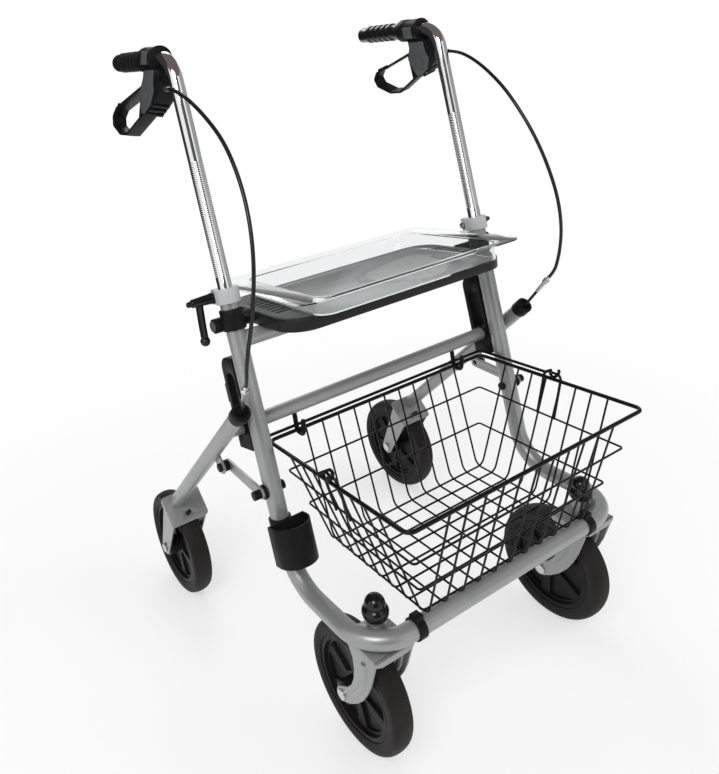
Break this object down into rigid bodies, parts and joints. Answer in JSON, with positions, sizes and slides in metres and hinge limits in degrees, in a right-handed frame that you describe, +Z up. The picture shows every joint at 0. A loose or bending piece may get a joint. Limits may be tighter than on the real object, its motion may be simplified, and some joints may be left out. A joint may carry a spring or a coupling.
{
  "type": "rollator",
  "caption": "Four-wheeled walking frame with folding rear legs, height-adjustable handles, cable brakes, flip-up seat, clear tray, wire basket and cup holder.",
  "frame": {"origin": "on the floor, in the middle of the object's width and of its length", "axes": "+X to the user's left, +Y towards the user walking behind, +Z up"},
  "size_m": [0.632, 0.7189, 1.016],
  "materials": {
    "frame_paint": "silver-grey metallic paint, satin",
    "rear_paint": "silver-grey metallic paint, satin",
    "chrome_tube": "bright chrome",
    "bright_steel": "zinc-plated steel",
    "black_plastic": "black moulded plastic",
    "gloss_black": "glossy black moulded plastic",
    "grey_plastic": "silver-grey plastic",
    "dark_grey_plastic": "dark grey plastic plates",
    "tyre": "solid dark rubber tyre",
    "hub": "dark moulded hub",
    "grip_rubber": "ribbed black rubber",
    "cable_sheath": "black cable sheath",
    "seat_plastic": "black grained plastic",
    "clear_tray": "clear moulded plastic",
    "basket_wire": "black coated wire",
    "brake_pad": "black brake block"
  },
  "bodies": {
    "front_frame": {"front_tube": "frame_paint", "seat_tube": "frame_paint", "caster_sleeves": "frame_paint", "ball_caps": "gloss_black", "guide_rail_left": "black_plastic", "guide_rail_right": "black_plastic", "link_pivot_bolts": "black_plastic", "height_collars": "grey_plastic", "collar_bolts": "bright_steel", "handle_bushes": "black_plastic", "seat_brackets": "black_plastic", "seat_pivot_pins": "bright_steel", "cup_holder": "black_plastic", "basket_clips": "black_plastic"},
    "carriage": {"slider_bushes": "black_plastic", "basket_hangers": "black_plastic"},
    "rear_frame": {"leg_tube_left": "rear_paint", "leg_tube_right": "rear_paint", "lower_crossbar": "rear_paint", "leg_end_caps": "black_plastic", "rear_fork_left": "rear_paint", "rear_fork_right": "rear_paint", "lug_bolts": "black_plastic", "rear_axles": "bright_steel", "cable_adjusters": "bright_steel", "cable_boots": "cable_sheath"},
    "seat": {"seat_board": "seat_plastic"},
    "tray": {"tray": "clear_tray"},
    "basket": {"basket_wires": "basket_wire"},
    "bail": {"basket_bail": "basket_wire"},
    "fold_latch": {"fold_latch_knob": "black_plastic"},
    "link_left": {"fold_link_left": "bright_steel"},
    "rear_wheel_left": {"rear_tyre_left": "tyre", "rear_hub_left": "hub"},
    "caster_left": {"caster_fork_left": "rear_paint", "front_axle_left": "bright_steel"},
    "front_wheel_left": {"front_tyre_left": "tyre", "front_hub_left": "hub"},
    "handle_left": {"handle_tube_left": "chrome_tube", "grip_left": "grip_rubber", "brake_housing_left": "dark_grey_plastic", "brake_cable_left": "cable_sheath"},
    "clamp_lever_left": {"clamp_lever_left": "gloss_black"},
    "brake_lever_left": {"brake_lever_left": "black_plastic"},
    "brake_shoe_left": {"brake_shoe_left": "brake_pad"},
    "link_right": {"fold_link_right": "bright_steel"},
    "rear_wheel_right": {"rear_tyre_right": "tyre", "rear_hub_right": "hub"},
    "caster_right": {"caster_fork_right": "rear_paint", "front_axle_right": "bright_steel"},
    "front_wheel_right": {"front_tyre_right": "tyre", "front_hub_right": "hub"},
    "handle_right": {"handle_tube_right": "chrome_tube", "grip_right": "grip_rubber", "brake_housing_right": "dark_grey_plastic", "brake_cable_right": "cable_sheath"},
    "clamp_lever_right": {"clamp_lever_right": "gloss_black"},
    "brake_lever_right": {"brake_lever_right": "black_plastic"},
    "brake_shoe_right": {"brake_shoe_right": "brake_pad"}
  },
  "joints": [
    {"name": "fold_slide", "type": "slide", "parent": "front_frame", "child": "carriage", "axis": [0, 0.2334, 0.9724], "range_m": [0, 0.07], "deforming": ["brake_cable_left", "brake_cable_right"]},
    {"name": "rear_frame_hinge", "type": "hinge", "parent": "carriage", "child": "rear_frame", "pos_m": [0, -0.03723, 0.46696], "axis": [1, 0, 0], "range_deg": [-24.2, 0], "deforming": ["brake_cable_left", "brake_cable_right"]},
    {"name": "fold_link_hinge_left", "type": "hinge", "parent": "front_frame", "child": "link_left", "pos_m": [0.2703, -0.08726, 0.38024], "axis": [1, 0, 0], "range_deg": [0, 36.8]},
    {"name": "rear_wheel_spin_left", "type": "hinge", "parent": "rear_frame", "child": "rear_wheel_left", "pos_m": [0.278, 0.2595, 0.1], "axis": [1, 0, 0], "continuous": true},
    {"name": "caster_swivel_left", "type": "hinge", "parent": "front_frame", "child": "caster_left", "pos_m": [0.213, -0.2655, 0.24], "axis": [0, 0, 1], "continuous": true},
    {"name": "front_wheel_spin_left", "type": "hinge", "parent": "caster_left", "child": "front_wheel_left", "pos_m": [0.213, -0.2165, 0.1], "axis": [1, 0, 0], "continuous": true},
    {"name": "handle_height_left", "type": "slide", "parent": "front_frame", "child": "handle_left", "axis": [0, 0.2334, 0.9724], "range_m": [-0.14, 0], "deforming": ["brake_cable_left"]},
    {"name": "clamp_lever_turn_left", "type": "hinge", "parent": "front_frame", "child": "clamp_lever_left", "pos_m": [0.28, 0.00302, 0.6599], "axis": [1, 0, 0], "range_deg": [-90, 90]},
    {"name": "brake_squeeze_left", "type": "hinge", "parent": "handle_left", "child": "brake_lever_left", "pos_m": [0.26403, 0.10748, 0.94172], "axis": [0.9703, 0, 0.2419], "range_deg": [0, 15], "stiffness_Nm_per_rad": 2, "springref_deg": -5.73},
    {"name": "brake_shoe_press_left", "type": "slide", "parent": "rear_frame", "child": "brake_shoe_left", "axis": [0, 0.7145, -0.6997], "range_m": [0, 0.0027]},
    {"name": "fold_link_hinge_right", "type": "hinge", "parent": "front_frame", "child": "link_right", "pos_m": [-0.2703, -0.08726, 0.38024], "axis": [1, 0, 0], "range_deg": [0, 36.8]},
    {"name": "rear_wheel_spin_right", "type": "hinge", "parent": "rear_frame", "child": "rear_wheel_right", "pos_m": [-0.278, 0.2595, 0.1], "axis": [1, 0, 0], "continuous": true},
    {"name": "caster_swivel_right", "type": "hinge", "parent": "front_frame", "child": "caster_right", "pos_m": [-0.213, -0.2655, 0.24], "axis": [0, 0, 1], "continuous": true},
    {"name": "front_wheel_spin_right", "type": "hinge", "parent": "caster_right", "child": "front_wheel_right", "pos_m": [-0.213, -0.2165, 0.1], "axis": [1, 0, 0], "continuous": true},
    {"name": "handle_height_right", "type": "slide", "parent": "front_frame", "child": "handle_right", "axis": [0, 0.2334, 0.9724], "range_m": [-0.14, 0], "deforming": ["brake_cable_right"]},
    {"name": "clamp_lever_turn_right", "type": "hinge", "parent": "front_frame", "child": "clamp_lever_right", "pos_m": [-0.28, 0.00302, 0.6599], "axis": [1, 0, 0], "range_deg": [-90, 90]},
    {"name": "brake_squeeze_right", "type": "hinge", "parent": "handle_right", "child": "brake_lever_right", "pos_m": [-0.26403, 0.10748, 0.94172], "axis": [0.9703, 0, -0.2419], "range_deg": [0, 15], "stiffness_Nm_per_rad": 2, "springref_deg": -5.73},
    {"name": "brake_shoe_press_right", "type": "slide", "parent": "rear_frame", "child": "brake_shoe_right", "axis": [0, 0.7145, -0.6997], "range_m": [0, 0.0027]},
    {"name": "seat_flip", "type": "hinge", "parent": "front_frame", "child": "seat", "pos_m": [0, -0.0105, 0.622], "axis": [-1, 0, 0], "range_deg": [0, 70]},
    {"name": "tray_lift", "type": "slide", "parent": "seat", "child": "tray", "axis": [0, 0.0837, 0.9965], "range_m": [0, 0.15]},
    {"name": "basket_lift", "type": "slide", "parent": "carriage", "child": "basket", "axis": [0, -0.5, 0.866], "range_m": [0, 0.15]},
    {"name": "bail_swing", "type": "hinge", "parent": "basket", "child": "bail", "pos_m": [0, -0.2013, 0.4422], "axis": [1, 0, 0], "range_deg": [0, 165]},
    {"name": "latch_pull", "type": "slide", "parent": "front_frame", "child": "fold_latch", "axis": [0, 0.9724, -0.2334], "range_m": [0, 0.006], "stiffness_N_per_m": 800, "springref_m": -0.003}
  ],
  "couplings": [
    {"joint": "rear_frame_hinge", "follows": "fold_slide", "rad_per_m": -5.9531},
    {"joint": "fold_link_hinge_left", "follows": "fold_slide", "rad_per_m": 9.0844},
    {"joint": "brake_shoe_press_left", "follows": "brake_squeeze_left", "m_per_rad": 0.009931},
    {"joint": "fold_link_hinge_right", "follows": "fold_slide", "rad_per_m": 9.0844},
    {"joint": "brake_shoe_press_right", "follows": "brake_squeeze_right", "m_per_rad": 0.009931}
  ]
}
